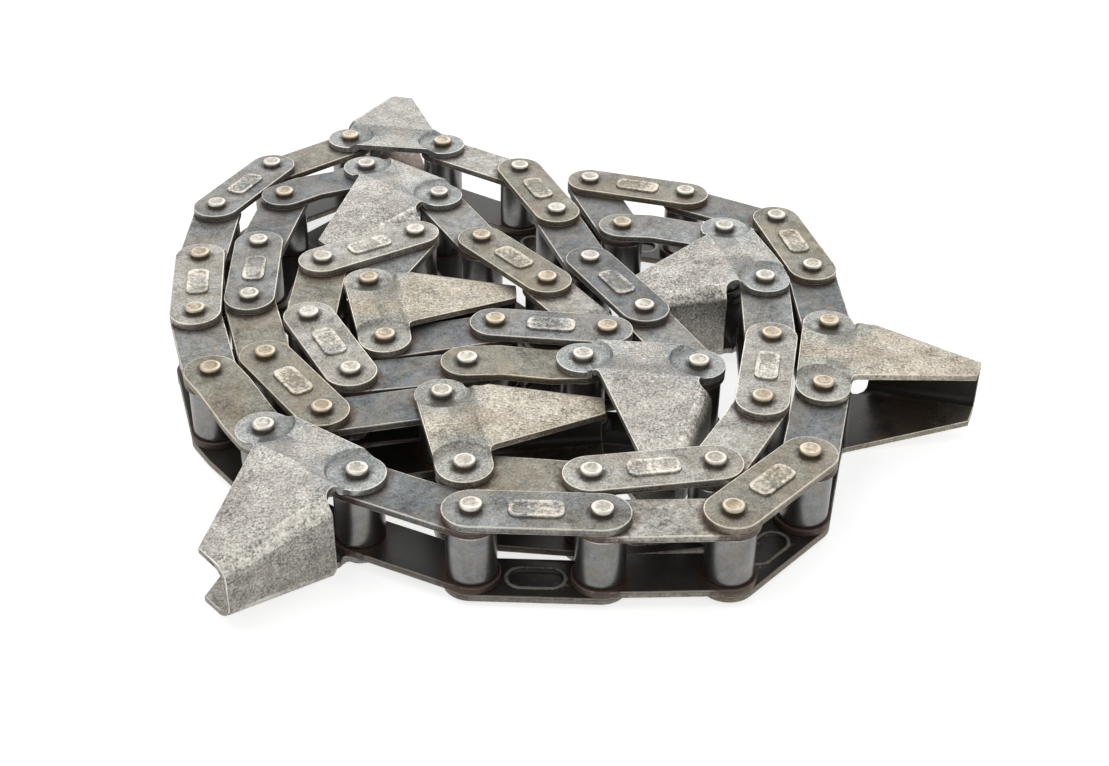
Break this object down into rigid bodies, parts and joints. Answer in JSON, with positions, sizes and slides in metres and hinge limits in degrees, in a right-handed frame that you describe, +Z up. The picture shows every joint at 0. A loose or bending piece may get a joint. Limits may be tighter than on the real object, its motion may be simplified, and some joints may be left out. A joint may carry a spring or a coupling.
{
  "type": "conveyor chain",
  "caption": "Endless roller chain with folded sheet-metal lugs and cranked offset links, lying on its side in a folded coil with its pins upright.",
  "frame": {"origin": "middle of the coil's box seen from above, on the surface that the pins stand on", "axes": "+Z up along the pins, +Y along the coil's longer side"},
  "size_m": [0.3058, 0.3446, 0.035],
  "materials": {
    "plate_steel": "worn and oiled, darkened in the hollows, bright on the edges",
    "lug_steel": "mottled hot-rolled sheet, blued round the pressed ears, specks of rust",
    "roller_steel": "smooth, dark with oil",
    "pin_steel": "bright riveted ends"
  },
  "bodies": {
    "lug_link_00": {"lug_link_00": "lug_steel"},
    "inner_link_01": {"inner_link_01": "plate_steel"},
    "outer_link_02": {"outer_link_02": "plate_steel"},
    "inner_link_03": {"inner_link_03": "plate_steel"},
    "outer_link_04": {"outer_link_04": "plate_steel"},
    "inner_link_05": {"inner_link_05": "plate_steel"},
    "lug_link_06": {"lug_link_06": "lug_steel"},
    "offset_link_07": {"offset_link_07": "plate_steel"},
    "inner_link_08": {"inner_link_08": "plate_steel"},
    "outer_link_09": {"outer_link_09": "plate_steel"},
    "inner_link_10": {"inner_link_10": "plate_steel"},
    "outer_link_11": {"outer_link_11": "plate_steel"},
    "inner_link_12": {"inner_link_12": "plate_steel"},
    "lug_link_13": {"lug_link_13": "lug_steel"},
    "inner_link_14": {"inner_link_14": "plate_steel"},
    "outer_link_15": {"outer_link_15": "plate_steel"},
    "inner_link_16": {"inner_link_16": "plate_steel"},
    "outer_link_17": {"outer_link_17": "plate_steel"},
    "inner_link_18": {"inner_link_18": "plate_steel"},
    "lug_link_19": {"lug_link_19": "lug_steel"},
    "offset_link_20": {"offset_link_20": "plate_steel"},
    "inner_link_21": {"inner_link_21": "plate_steel"},
    "outer_link_22": {"outer_link_22": "plate_steel"},
    "inner_link_23": {"inner_link_23": "plate_steel"},
    "outer_link_24": {"outer_link_24": "plate_steel"},
    "inner_link_25": {"inner_link_25": "plate_steel"},
    "lug_link_26": {"lug_link_26": "lug_steel"},
    "inner_link_27": {"inner_link_27": "plate_steel"},
    "outer_link_28": {"outer_link_28": "plate_steel"},
    "inner_link_29": {"inner_link_29": "plate_steel"},
    "outer_link_30": {"outer_link_30": "plate_steel"},
    "inner_link_31": {"inner_link_31": "plate_steel"},
    "lug_link_32": {"lug_link_32": "lug_steel"},
    "offset_link_33": {"offset_link_33": "plate_steel"},
    "inner_link_34": {"inner_link_34": "plate_steel"},
    "outer_link_35": {"outer_link_35": "plate_steel"},
    "inner_link_36": {"inner_link_36": "plate_steel"},
    "outer_link_37": {"outer_link_37": "plate_steel"},
    "inner_link_38": {"inner_link_38": "plate_steel"},
    "lug_link_39": {"lug_link_39": "lug_steel"},
    "inner_link_40": {"inner_link_40": "plate_steel"},
    "outer_link_41": {"outer_link_41": "plate_steel"},
    "inner_link_42": {"inner_link_42": "plate_steel"},
    "outer_link_43": {"outer_link_43": "plate_steel"},
    "inner_link_44": {"inner_link_44": "plate_steel"},
    "lug_link_45": {"lug_link_45": "lug_steel"},
    "offset_link_46": {"offset_link_46": "plate_steel"},
    "inner_link_47": {"inner_link_47": "plate_steel"},
    "outer_link_48": {"outer_link_48": "plate_steel"},
    "inner_link_49": {"inner_link_49": "plate_steel"},
    "outer_link_50": {"outer_link_50": "plate_steel"},
    "inner_link_51": {"inner_link_51": "plate_steel"},
    "roller_42": {"roller_42": "roller_steel"},
    "roller_43": {"roller_43": "roller_steel"},
    "roller_44": {"roller_44": "roller_steel"},
    "roller_45": {"roller_45": "roller_steel"},
    "roller_46": {"roller_46": "roller_steel"},
    "roller_47": {"roller_47": "roller_steel"},
    "roller_48": {"roller_48": "roller_steel"},
    "roller_49": {"roller_49": "roller_steel"}
  },
  "joints": [
    {"name": "pivot_24", "type": "hinge", "parent": "inner_link_23", "child": "outer_link_24", "pos_m": [-0.10649, -0.06014, 0.0175], "axis": [0, 0, 1], "range_deg": [-169, 131]},
    {"name": "pivot_25", "type": "hinge", "parent": "outer_link_24", "child": "inner_link_25", "pos_m": [-0.08215, -0.09364, 0.0175], "axis": [0, 0, 1], "range_deg": [-219, 81]},
    {"name": "pivot_26", "type": "hinge", "parent": "inner_link_25", "child": "lug_link_26", "pos_m": [-0.04216, -0.08292, 0.0175], "axis": [0, 0, 1], "range_deg": [-59, 133]},
    {"name": "pivot_27", "type": "hinge", "parent": "lug_link_26", "child": "inner_link_27", "pos_m": [-0.03215, -0.12309, 0.0175], "axis": [0, 0, 1], "range_deg": [-221, 24]},
    {"name": "pivot_28", "type": "hinge", "parent": "inner_link_27", "child": "outer_link_28", "pos_m": [0.0091, -0.1267, 0.0175], "axis": [0, 0, 1], "range_deg": [-165, 135]},
    {"name": "pivot_29", "type": "hinge", "parent": "outer_link_28", "child": "inner_link_29", "pos_m": [0.04987, -0.11951, 0.0175], "axis": [0, 0, 1], "range_deg": [-203, 97]},
    {"name": "pivot_30", "type": "hinge", "parent": "inner_link_29", "child": "outer_link_30", "pos_m": [0.06866, -0.08262, 0.0175], "axis": [0, 0, 1], "range_deg": [-167, 133]},
    {"name": "pivot_31", "type": "hinge", "parent": "outer_link_30", "child": "inner_link_31", "pos_m": [0.07585, -0.04185, 0.0175], "axis": [0, 0, 1], "range_deg": [-158, 142]},
    {"name": "pivot_32", "type": "hinge", "parent": "inner_link_31", "child": "lug_link_32", "pos_m": [0.0773, -0.00048, 0.0175], "axis": [0, 0, 1], "range_deg": [-170, 22]},
    {"name": "pivot_33", "type": "hinge", "parent": "lug_link_32", "child": "offset_link_33", "pos_m": [0.0645, 0.03889, 0.0175], "axis": [0, 0, 1], "range_deg": [-220, 25]},
    {"name": "pivot_34", "type": "hinge", "parent": "offset_link_33", "child": "inner_link_34", "pos_m": [0.02313, 0.04034, 0.0175], "axis": [0, 0, 1], "range_deg": [-80, 220]},
    {"name": "pivot_35", "type": "hinge", "parent": "inner_link_34", "child": "outer_link_35", "pos_m": [0.01033, 0.07971, 0.0175], "axis": [0, 0, 1], "range_deg": [-27, 273]},
    {"name": "pivot_36", "type": "hinge", "parent": "outer_link_35", "child": "inner_link_36", "pos_m": [0.05032, 0.069, 0.0175], "axis": [0, 0, 1], "range_deg": [-136, 164]},
    {"name": "pivot_37", "type": "hinge", "parent": "inner_link_36", "child": "outer_link_37", "pos_m": [0.08653, 0.04893, 0.0175], "axis": [0, 0, 1], "range_deg": [-103, 197]},
    {"name": "pivot_38", "type": "hinge", "parent": "outer_link_37", "child": "inner_link_38", "pos_m": [0.09655, 0.00876, 0.0175], "axis": [0, 0, 1], "range_deg": [-138, 162]},
    {"name": "pivot_39", "type": "hinge", "parent": "inner_link_38", "child": "lug_link_39", "pos_m": [0.09799, -0.03262, 0.0175], "axis": [0, 0, 1], "range_deg": [-138, 54]},
    {"name": "pivot_40", "type": "hinge", "parent": "lug_link_39", "child": "inner_link_40", "pos_m": [0.0908, -0.07339, 0.0175], "axis": [0, 0, 1], "range_deg": [-147, 98]},
    {"name": "pivot_41", "type": "hinge", "parent": "inner_link_40", "child": "outer_link_41", "pos_m": [0.08149, -0.11373, 0.0175], "axis": [0, 0, 1], "range_deg": [-121, 179]},
    {"name": "pivot_42", "type": "hinge", "parent": "outer_link_41", "child": "inner_link_42", "pos_m": [0.05379, -0.14449, 0.0175], "axis": [0, 0, 1], "range_deg": [-105, 195]},
    {"name": "pivot_43", "type": "hinge", "parent": "inner_link_42", "child": "outer_link_43", "pos_m": [0.01245, -0.14666, 0.0175], "axis": [0, 0, 1], "range_deg": [-146, 154]},
    {"name": "pivot_44", "type": "hinge", "parent": "outer_link_43", "child": "inner_link_44", "pos_m": [-0.02895, -0.14594, 0.0175], "axis": [0, 0, 1], "range_deg": [-126, 174]},
    {"name": "pivot_45", "type": "hinge", "parent": "inner_link_44", "child": "lug_link_45", "pos_m": [-0.06647, -0.12844, 0.0175], "axis": [0, 0, 1], "range_deg": [-140, 52]},
    {"name": "pivot_46", "type": "hinge", "parent": "lug_link_45", "child": "offset_link_46", "pos_m": [-0.10038, -0.1047, 0.0175], "axis": [0, 0, 1], "range_deg": [-130, 115]},
    {"name": "pivot_23", "type": "hinge", "parent": "inner_link_23", "child": "outer_link_22", "pos_m": [-0.11859, -0.02055, 0.0175], "axis": [0, 0, 1], "range_deg": [-137, 163]},
    {"name": "pivot_22", "type": "hinge", "parent": "outer_link_22", "child": "inner_link_21", "pos_m": [-0.12148, 0.02075, 0.0175], "axis": [0, 0, 1], "range_deg": [-140, 160]},
    {"name": "pivot_21", "type": "hinge", "parent": "inner_link_21", "child": "offset_link_20", "pos_m": [-0.11715, 0.06192, 0.0175], "axis": [0, 0, 1], "range_deg": [-107, 193]},
    {"name": "pivot_20", "type": "hinge", "parent": "offset_link_20", "child": "lug_link_19", "pos_m": [-0.08591, 0.08908, 0.0175], "axis": [0, 0, 1], "range_deg": [-17, 228]},
    {"name": "pivot_19", "type": "hinge", "parent": "lug_link_19", "child": "inner_link_18", "pos_m": [-0.05284, 0.06416, 0.0175], "axis": [0, 0, 1], "range_deg": [-17, 175]},
    {"name": "pivot_18", "type": "hinge", "parent": "inner_link_18", "child": "outer_link_17", "pos_m": [-0.03341, 0.02761, 0.0175], "axis": [0, 0, 1], "range_deg": [-162, 138]},
    {"name": "pivot_17", "type": "hinge", "parent": "outer_link_17", "child": "inner_link_16", "pos_m": [-0.00679, -0.0041, 0.0175], "axis": [0, 0, 1], "range_deg": [-143, 157]},
    {"name": "pivot_16", "type": "hinge", "parent": "inner_link_16", "child": "outer_link_15", "pos_m": [0.01575, -0.03882, 0.0175], "axis": [0, 0, 1], "range_deg": [-22, 278]},
    {"name": "pivot_15", "type": "hinge", "parent": "outer_link_15", "child": "inner_link_14", "pos_m": [-0.02549, -0.03522, 0.0175], "axis": [0, 0, 1], "range_deg": [-172, 128]},
    {"name": "pivot_14", "type": "hinge", "parent": "inner_link_14", "child": "lug_link_13", "pos_m": [-0.06508, -0.04732, 0.0175], "axis": [0, 0, 1], "range_deg": [-2, 243]},
    {"name": "pivot_13", "type": "hinge", "parent": "lug_link_13", "child": "inner_link_12", "pos_m": [-0.0751, -0.00715, 0.0175], "axis": [0, 0, 1], "range_deg": [-7, 185]},
    {"name": "pivot_12", "type": "hinge", "parent": "inner_link_12", "child": "outer_link_11", "pos_m": [-0.06026, 0.0315, 0.0175], "axis": [0, 0, 1], "range_deg": [-295, 5]},
    {"name": "pivot_11", "type": "hinge", "parent": "outer_link_11", "child": "inner_link_10", "pos_m": [-0.09458, 0.00835, 0.0175], "axis": [0, 0, 1], "range_deg": [-206, 94]},
    {"name": "pivot_10", "type": "hinge", "parent": "inner_link_10", "child": "outer_link_09", "pos_m": [-0.09458, -0.03305, 0.0175], "axis": [0, 0, 1], "range_deg": [-178, 122]},
    {"name": "pivot_09", "type": "hinge", "parent": "outer_link_09", "child": "inner_link_08", "pos_m": [-0.07515, -0.0696, 0.0175], "axis": [0, 0, 1], "range_deg": [-223, 77]},
    {"name": "pivot_08", "type": "hinge", "parent": "inner_link_08", "child": "offset_link_07", "pos_m": [-0.03451, -0.06171, 0.0175], "axis": [0, 0, 1], "range_deg": [-144, 156]},
    {"name": "pivot_07", "type": "hinge", "parent": "offset_link_07", "child": "lug_link_06", "pos_m": [0.00674, -0.0581, 0.0175], "axis": [0, 0, 1], "range_deg": [-86, 159]},
    {"name": "pivot_06", "type": "hinge", "parent": "lug_link_06", "child": "inner_link_05", "pos_m": [0.04804, -0.06098, 0.0175], "axis": [0, 0, 1], "range_deg": [-162, 30]},
    {"name": "pivot_05", "type": "hinge", "parent": "inner_link_05", "child": "outer_link_04", "pos_m": [0.02989, -0.02377, 0.0175], "axis": [0, 0, 1], "range_deg": [-153, 147]},
    {"name": "pivot_04", "type": "hinge", "parent": "outer_link_04", "child": "inner_link_03", "pos_m": [0.00982, 0.01243, 0.0175], "axis": [0, 0, 1], "range_deg": [-140, 160]},
    {"name": "pivot_03", "type": "hinge", "parent": "inner_link_03", "child": "outer_link_02", "pos_m": [-0.00366, 0.05158, 0.0175], "axis": [0, 0, 1], "range_deg": [-154, 146]},
    {"name": "pivot_02", "type": "hinge", "parent": "outer_link_02", "child": "inner_link_01", "pos_m": [-0.01984, 0.08969, 0.0175], "axis": [0, 0, 1], "range_deg": [-184, 116]},
    {"name": "pivot_01", "type": "hinge", "parent": "inner_link_01", "child": "lug_link_00", "pos_m": [-0.05456, 0.11224, 0.0175], "axis": [0, 0, 1], "range_deg": [-122, 123]},
    {"name": "pivot_00", "type": "hinge", "parent": "lug_link_00", "child": "inner_link_51", "pos_m": [-0.09573, 0.11656, 0.0175], "axis": [0, 0, 1], "range_deg": [-90.3, 101.7]},
    {"name": "pivot_51", "type": "hinge", "parent": "inner_link_51", "child": "outer_link_50", "pos_m": [-0.12636, 0.08871, 0.0175], "axis": [0, 0, 1], "range_deg": [0, 24.75]},
    {"name": "pivot_50", "type": "hinge", "parent": "outer_link_50", "child": "inner_link_49", "pos_m": [-0.14341, 0.05098, 0.0175], "axis": [0, 0, 1], "range_deg": [-175.3, 124.7]},
    {"name": "pivot_49", "type": "hinge", "parent": "inner_link_49", "child": "outer_link_48", "pos_m": [-0.14268, 0.00959, 0.0175], "axis": [0, 0, 1], "range_deg": [-157, 143]},
    {"name": "pivot_48", "type": "hinge", "parent": "outer_link_48", "child": "inner_link_47", "pos_m": [-0.13692, -0.03141, 0.0175], "axis": [0, 0, 1], "range_deg": [-160, 140]},
    {"name": "roller_42_spin", "type": "hinge", "parent": "inner_link_42", "child": "roller_42", "pos_m": [0.05379, -0.14449, 0.0175], "axis": [0, 0, 1], "continuous": true},
    {"name": "roller_43_spin", "type": "hinge", "parent": "inner_link_42", "child": "roller_43", "pos_m": [0.01245, -0.14666, 0.0175], "axis": [0, 0, 1], "continuous": true},
    {"name": "roller_44_spin", "type": "hinge", "parent": "inner_link_44", "child": "roller_44", "pos_m": [-0.02895, -0.14594, 0.0175], "axis": [0, 0, 1], "continuous": true},
    {"name": "roller_45_spin", "type": "hinge", "parent": "inner_link_44", "child": "roller_45", "pos_m": [-0.06647, -0.12844, 0.0175], "axis": [0, 0, 1], "continuous": true},
    {"name": "roller_46_spin", "type": "hinge", "parent": "offset_link_46", "child": "roller_46", "pos_m": [-0.10038, -0.1047, 0.0175], "axis": [0, 0, 1], "continuous": true},
    {"name": "roller_47_spin", "type": "hinge", "parent": "inner_link_47", "child": "roller_47", "pos_m": [-0.12413, -0.07078, 0.0175], "axis": [0, 0, 1], "continuous": true},
    {"name": "roller_48_spin", "type": "hinge", "parent": "inner_link_47", "child": "roller_48", "pos_m": [-0.13692, -0.03141, 0.0175], "axis": [0, 0, 1], "continuous": true},
    {"name": "roller_49_spin", "type": "hinge", "parent": "inner_link_49", "child": "roller_49", "pos_m": [-0.14268, 0.00959, 0.0175], "axis": [0, 0, 1], "continuous": true}
  ],
  "couplings": [
    {"joint": "pivot_24", "follows": "pivot_51", "ratio": -0.32627},
    {"joint": "pivot_25", "follows": "pivot_51", "ratio": 0.060941},
    {"joint": "pivot_26", "follows": "pivot_51", "ratio": 0.52981},
    {"joint": "pivot_27", "follows": "pivot_51", "ratio": 0.13053},
    {"joint": "pivot_28", "follows": "pivot_51", "ratio": -0.3472},
    {"joint": "pivot_29", "follows": "pivot_51", "ratio": -0.46641},
    {"joint": "pivot_30", "follows": "pivot_51", "ratio": -0.13465},
    {"joint": "pivot_31", "follows": "pivot_51", "ratio": -0.046452},
    {"joint": "pivot_32", "follows": "pivot_51", "ratio": -0.02478},
    {"joint": "pivot_33", "follows": "pivot_51", "ratio": 0.096577},
    {"joint": "pivot_34", "follows": "pivot_51", "ratio": -1.0113},
    {"joint": "pivot_35", "follows": "pivot_51", "ratio": 0.78013},
    {"joint": "pivot_36", "follows": "pivot_51", "ratio": -0.13998},
    {"joint": "pivot_37", "follows": "pivot_51", "ratio": 0.17131},
    {"joint": "pivot_38", "follows": "pivot_51", "ratio": 0.030392},
    {"joint": "pivot_39", "follows": "pivot_51", "ratio": 0.41116},
    {"joint": "pivot_40", "follows": "pivot_51", "ratio": -1.0892},
    {"joint": "pivot_41", "follows": "pivot_51", "ratio": 0.93924},
    {"joint": "pivot_42", "follows": "pivot_51", "ratio": 0.84674},
    {"joint": "pivot_43", "follows": "pivot_51", "ratio": -0.51611},
    {"joint": "pivot_44", "follows": "pivot_51", "ratio": 0.022284},
    {"joint": "pivot_45", "follows": "pivot_51", "ratio": 0.34927},
    {"joint": "pivot_46", "follows": "pivot_51", "ratio": -0.67683},
    {"joint": "pivot_23", "follows": "pivot_51", "ratio": 0.038479},
    {"joint": "pivot_22", "follows": "pivot_51", "ratio": 0.20755},
    {"joint": "pivot_21", "follows": "pivot_51", "ratio": -0.46154},
    {"joint": "pivot_20", "follows": "pivot_51", "ratio": 0.091908},
    {"joint": "pivot_19", "follows": "pivot_51", "ratio": 1.1342},
    {"joint": "pivot_18", "follows": "pivot_51", "ratio": -1.2785},
    {"joint": "pivot_17", "follows": "pivot_51", "ratio": 0.37308},
    {"joint": "pivot_16", "follows": "pivot_51", "ratio": 0.037396},
    {"joint": "pivot_15", "follows": "pivot_51", "ratio": 0.10354},
    {"joint": "pivot_14", "follows": "pivot_51", "ratio": 0.058003},
    {"joint": "pivot_13", "follows": "pivot_51", "ratio": -0.22451},
    {"joint": "pivot_12", "follows": "pivot_51", "ratio": -0.06651},
    {"joint": "pivot_11", "follows": "pivot_51", "ratio": 0.097399},
    {"joint": "pivot_10", "follows": "pivot_51", "ratio": -0.24895},
    {"joint": "pivot_09", "follows": "pivot_51", "ratio": 0.30042},
    {"joint": "pivot_08", "follows": "pivot_51", "ratio": 0.12547},
    {"joint": "pivot_07", "follows": "pivot_51", "ratio": -0.41846},
    {"joint": "pivot_06", "follows": "pivot_51", "ratio": -0.52921},
    {"joint": "pivot_05", "follows": "pivot_51", "ratio": 0.74173},
    {"joint": "pivot_04", "follows": "pivot_51", "ratio": 0.54243},
    {"joint": "pivot_03", "follows": "pivot_51", "ratio": 0.15386},
    {"joint": "pivot_02", "follows": "pivot_51", "ratio": -0.86446},
    {"joint": "pivot_01", "follows": "pivot_51", "ratio": 0.14422},
    {"joint": "pivot_00", "follows": "pivot_51", "ratio": -0.34151},
    {"joint": "pivot_50", "follows": "pivot_51", "ratio": -0.86397},
    {"joint": "pivot_49", "follows": "pivot_51", "ratio": 0.16094},
    {"joint": "pivot_48", "follows": "pivot_51", "ratio": 0.17261}
  ]
}
